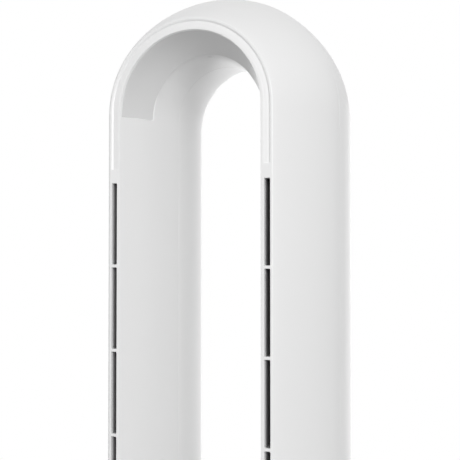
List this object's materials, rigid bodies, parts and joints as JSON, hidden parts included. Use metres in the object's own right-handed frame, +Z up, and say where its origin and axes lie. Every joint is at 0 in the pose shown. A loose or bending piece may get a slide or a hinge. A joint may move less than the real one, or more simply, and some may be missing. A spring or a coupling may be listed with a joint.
{
  "type": "bladeless tower fan",
  "caption": "Tall free-standing fan with an upright hollow air loop, slotted front rims, and a round swinging body on a flat round base.",
  "frame": {"origin": "middle of the face it stands on, on the upright axis that the body turns about", "axes": "+Z up along the turning axis; -Y is the front, the way the air leaves; +X is to the right when looking along +Y"},
  "size_m": [0.23, 0.23, 1.05],
  "materials": {
    "white_shell": "satin-gloss white moulded plastic",
    "liner_white": "soft satin white moulded plastic",
    "nozzle_grey": "matt dark grey moulded plastic",
    "inner_grey": "matt grey moulded plastic",
    "dark_plastic": "matt black moulded plastic",
    "gloss_black": "gloss black smoked plastic",
    "rubber": "matt black rubber",
    "acetal": "natural acetal",
    "foam": "open-cell grey foam",
    "circuit_board": "green solder resist",
    "steel": "zinc-plated steel",
    "motor_metal": "plated motor can"
  },
  "bodies": {
    "base": {"base_pan": "white_shell", "base_cover": "white_shell", "foot_1": "rubber", "foot_2": "rubber", "foot_3": "rubber", "foot_4": "rubber", "ballast_plate": "steel", "gear_sector": "acetal", "pivot_bush": "acetal", "thrust_ring": "acetal", "power_inlet": "dark_plastic"},
    "turret": {"turntable": "inner_grey", "pivot_washer": "steel", "pivot_screw": "steel", "swing_motor": "steel", "chassis": "inner_grey", "inlet_grille": "white_shell", "body_shell": "white_shell", "display_window": "gloss_black", "control_board": "circuit_board", "power_board": "circuit_board", "bellmouth": "dark_plastic", "impeller_duct": "inner_grey", "duct_foam": "foam", "duct_mount_1": "rubber", "duct_mount_2": "rubber", "duct_mount_3": "rubber", "motor_can": "motor_metal", "motor_bucket": "dark_plastic", "bucket_cap": "dark_plastic", "diffuser": "inner_grey", "port_gasket": "rubber", "loop_cradle": "inner_grey", "loop_front_shell": "white_shell", "loop_back_shell": "white_shell", "arch_liner": "liner_white", "liner_clip": "liner_white", "nozzle_right": "nozzle_grey", "nozzle_left": "nozzle_grey"},
    "pinion": {"swing_pinion": "acetal"},
    "rotor": {"impeller": "inner_grey", "motor_shaft": "steel"},
    "button": {"power_button": "white_shell"}
  },
  "joints": [
    {"name": "swing", "type": "hinge", "parent": "base", "child": "turret", "pos_m": [0, 0, 0], "axis": [0, 0, 1], "range_deg": [-45, 45]},
    {"name": "pinion_spin", "type": "hinge", "parent": "turret", "child": "pinion", "pos_m": [0.03675, 0, 0], "axis": [0, 0, 1], "range_deg": [-202.5, 202.5]},
    {"name": "impeller_spin", "type": "hinge", "parent": "turret", "child": "rotor", "pos_m": [0, 0, 0.1], "axis": [0, 0, 1], "continuous": true},
    {"name": "power_press", "type": "slide", "parent": "turret", "child": "button", "axis": [0, 1, 0], "range_m": [0, 0.001], "stiffness_N_per_m": 1500, "springref_m": -0.0003}
  ],
  "couplings": [
    {"joint": "pinion_spin", "follows": "swing", "ratio": -4.5}
  ]
}
